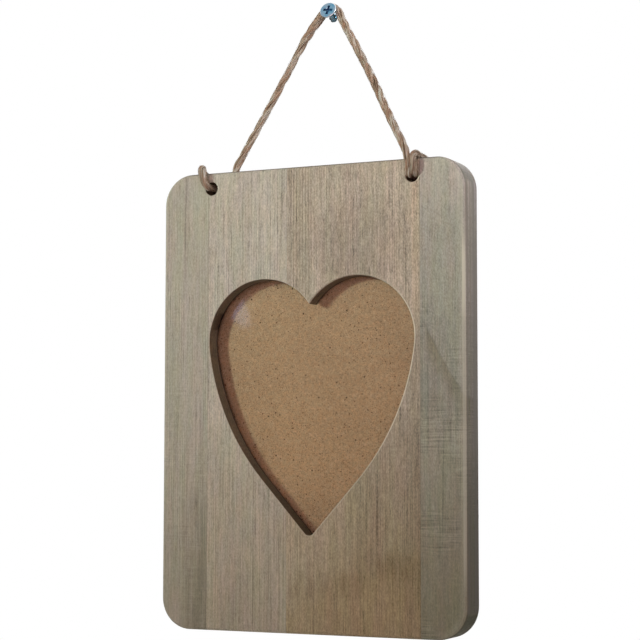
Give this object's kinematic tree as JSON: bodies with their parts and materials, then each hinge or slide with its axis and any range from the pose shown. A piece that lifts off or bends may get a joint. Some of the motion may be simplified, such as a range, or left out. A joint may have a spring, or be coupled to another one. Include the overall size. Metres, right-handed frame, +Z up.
{
  "type": "picture frame",
  "caption": "Small rustic wooden picture frame: an upright board with a heart-shaped opening over glass, hung by a jute twine from a screw, with turn buttons behind.",
  "frame": {"origin": "where the screw's axis enters the wall, on the board's upright centre line", "axes": "+X to the viewer's right, +Y from the board's front into the wall, +Z up"},
  "size_m": [0.15, 0.0532, 0.29],
  "materials": {
    "silvered_pine": "sanded pine with a thin driftwood-grey stain",
    "pale_pine": "sanded pine, the palest stave of the board",
    "warm_pine": "sanded pine, browner under the same grey stain",
    "grey_pine": "sanded pine, greyer, with a faint slanting figure",
    "clear_glass": "clear float glass with seamed edges",
    "fibreboard": "raw tan fibreboard with fine fibres",
    "jute": "twisted natural jute with loose fibres",
    "bright_zinc": "pressed steel, bright zinc plated",
    "blue_zinc": "turned steel, blue zinc plated"
  },
  "bodies": {
    "wall_screw": {"hanging_screw": "blue_zinc"},
    "frame": {"stave_left": "silvered_pine", "stave_centre_left": "pale_pine", "stave_centre_right": "warm_pine", "stave_right": "grey_pine", "glass_pane": "clear_glass", "backing_board": "fibreboard", "button_screw_upper_left": "bright_zinc", "button_screw_upper_right": "bright_zinc", "button_screw_lower_left": "bright_zinc", "button_screw_lower_right": "bright_zinc", "hanging_twine": "jute", "left_knot": "jute", "right_knot": "jute"},
    "turn_button_upper_left": {"turn_button_upper_left": "bright_zinc"},
    "turn_button_upper_right": {"turn_button_upper_right": "bright_zinc"},
    "turn_button_lower_left": {"turn_button_lower_left": "bright_zinc"},
    "turn_button_lower_right": {"turn_button_lower_right": "bright_zinc"}
  },
  "joints": [
    {"name": "swing_on_screw", "type": "hinge", "parent": "wall_screw", "child": "frame", "pos_m": [0, -0.003, 0.0011], "axis": [0, 1, 0], "range_deg": [-15, 15]},
    {"name": "turn_upper_left_button", "type": "hinge", "parent": "frame", "child": "turn_button_upper_left", "pos_m": [-0.07, -0.0125, -0.1265], "axis": [0, 1, 0], "continuous": true},
    {"name": "turn_upper_right_button", "type": "hinge", "parent": "frame", "child": "turn_button_upper_right", "pos_m": [0.07, -0.0125, -0.1265], "axis": [0, 1, 0], "continuous": true},
    {"name": "turn_lower_left_button", "type": "hinge", "parent": "frame", "child": "turn_button_lower_left", "pos_m": [-0.07, -0.0125, -0.2305], "axis": [0, 1, 0], "continuous": true},
    {"name": "turn_lower_right_button", "type": "hinge", "parent": "frame", "child": "turn_button_lower_right", "pos_m": [0.07, -0.0125, -0.2305], "axis": [0, 1, 0], "continuous": true}
  ]
}
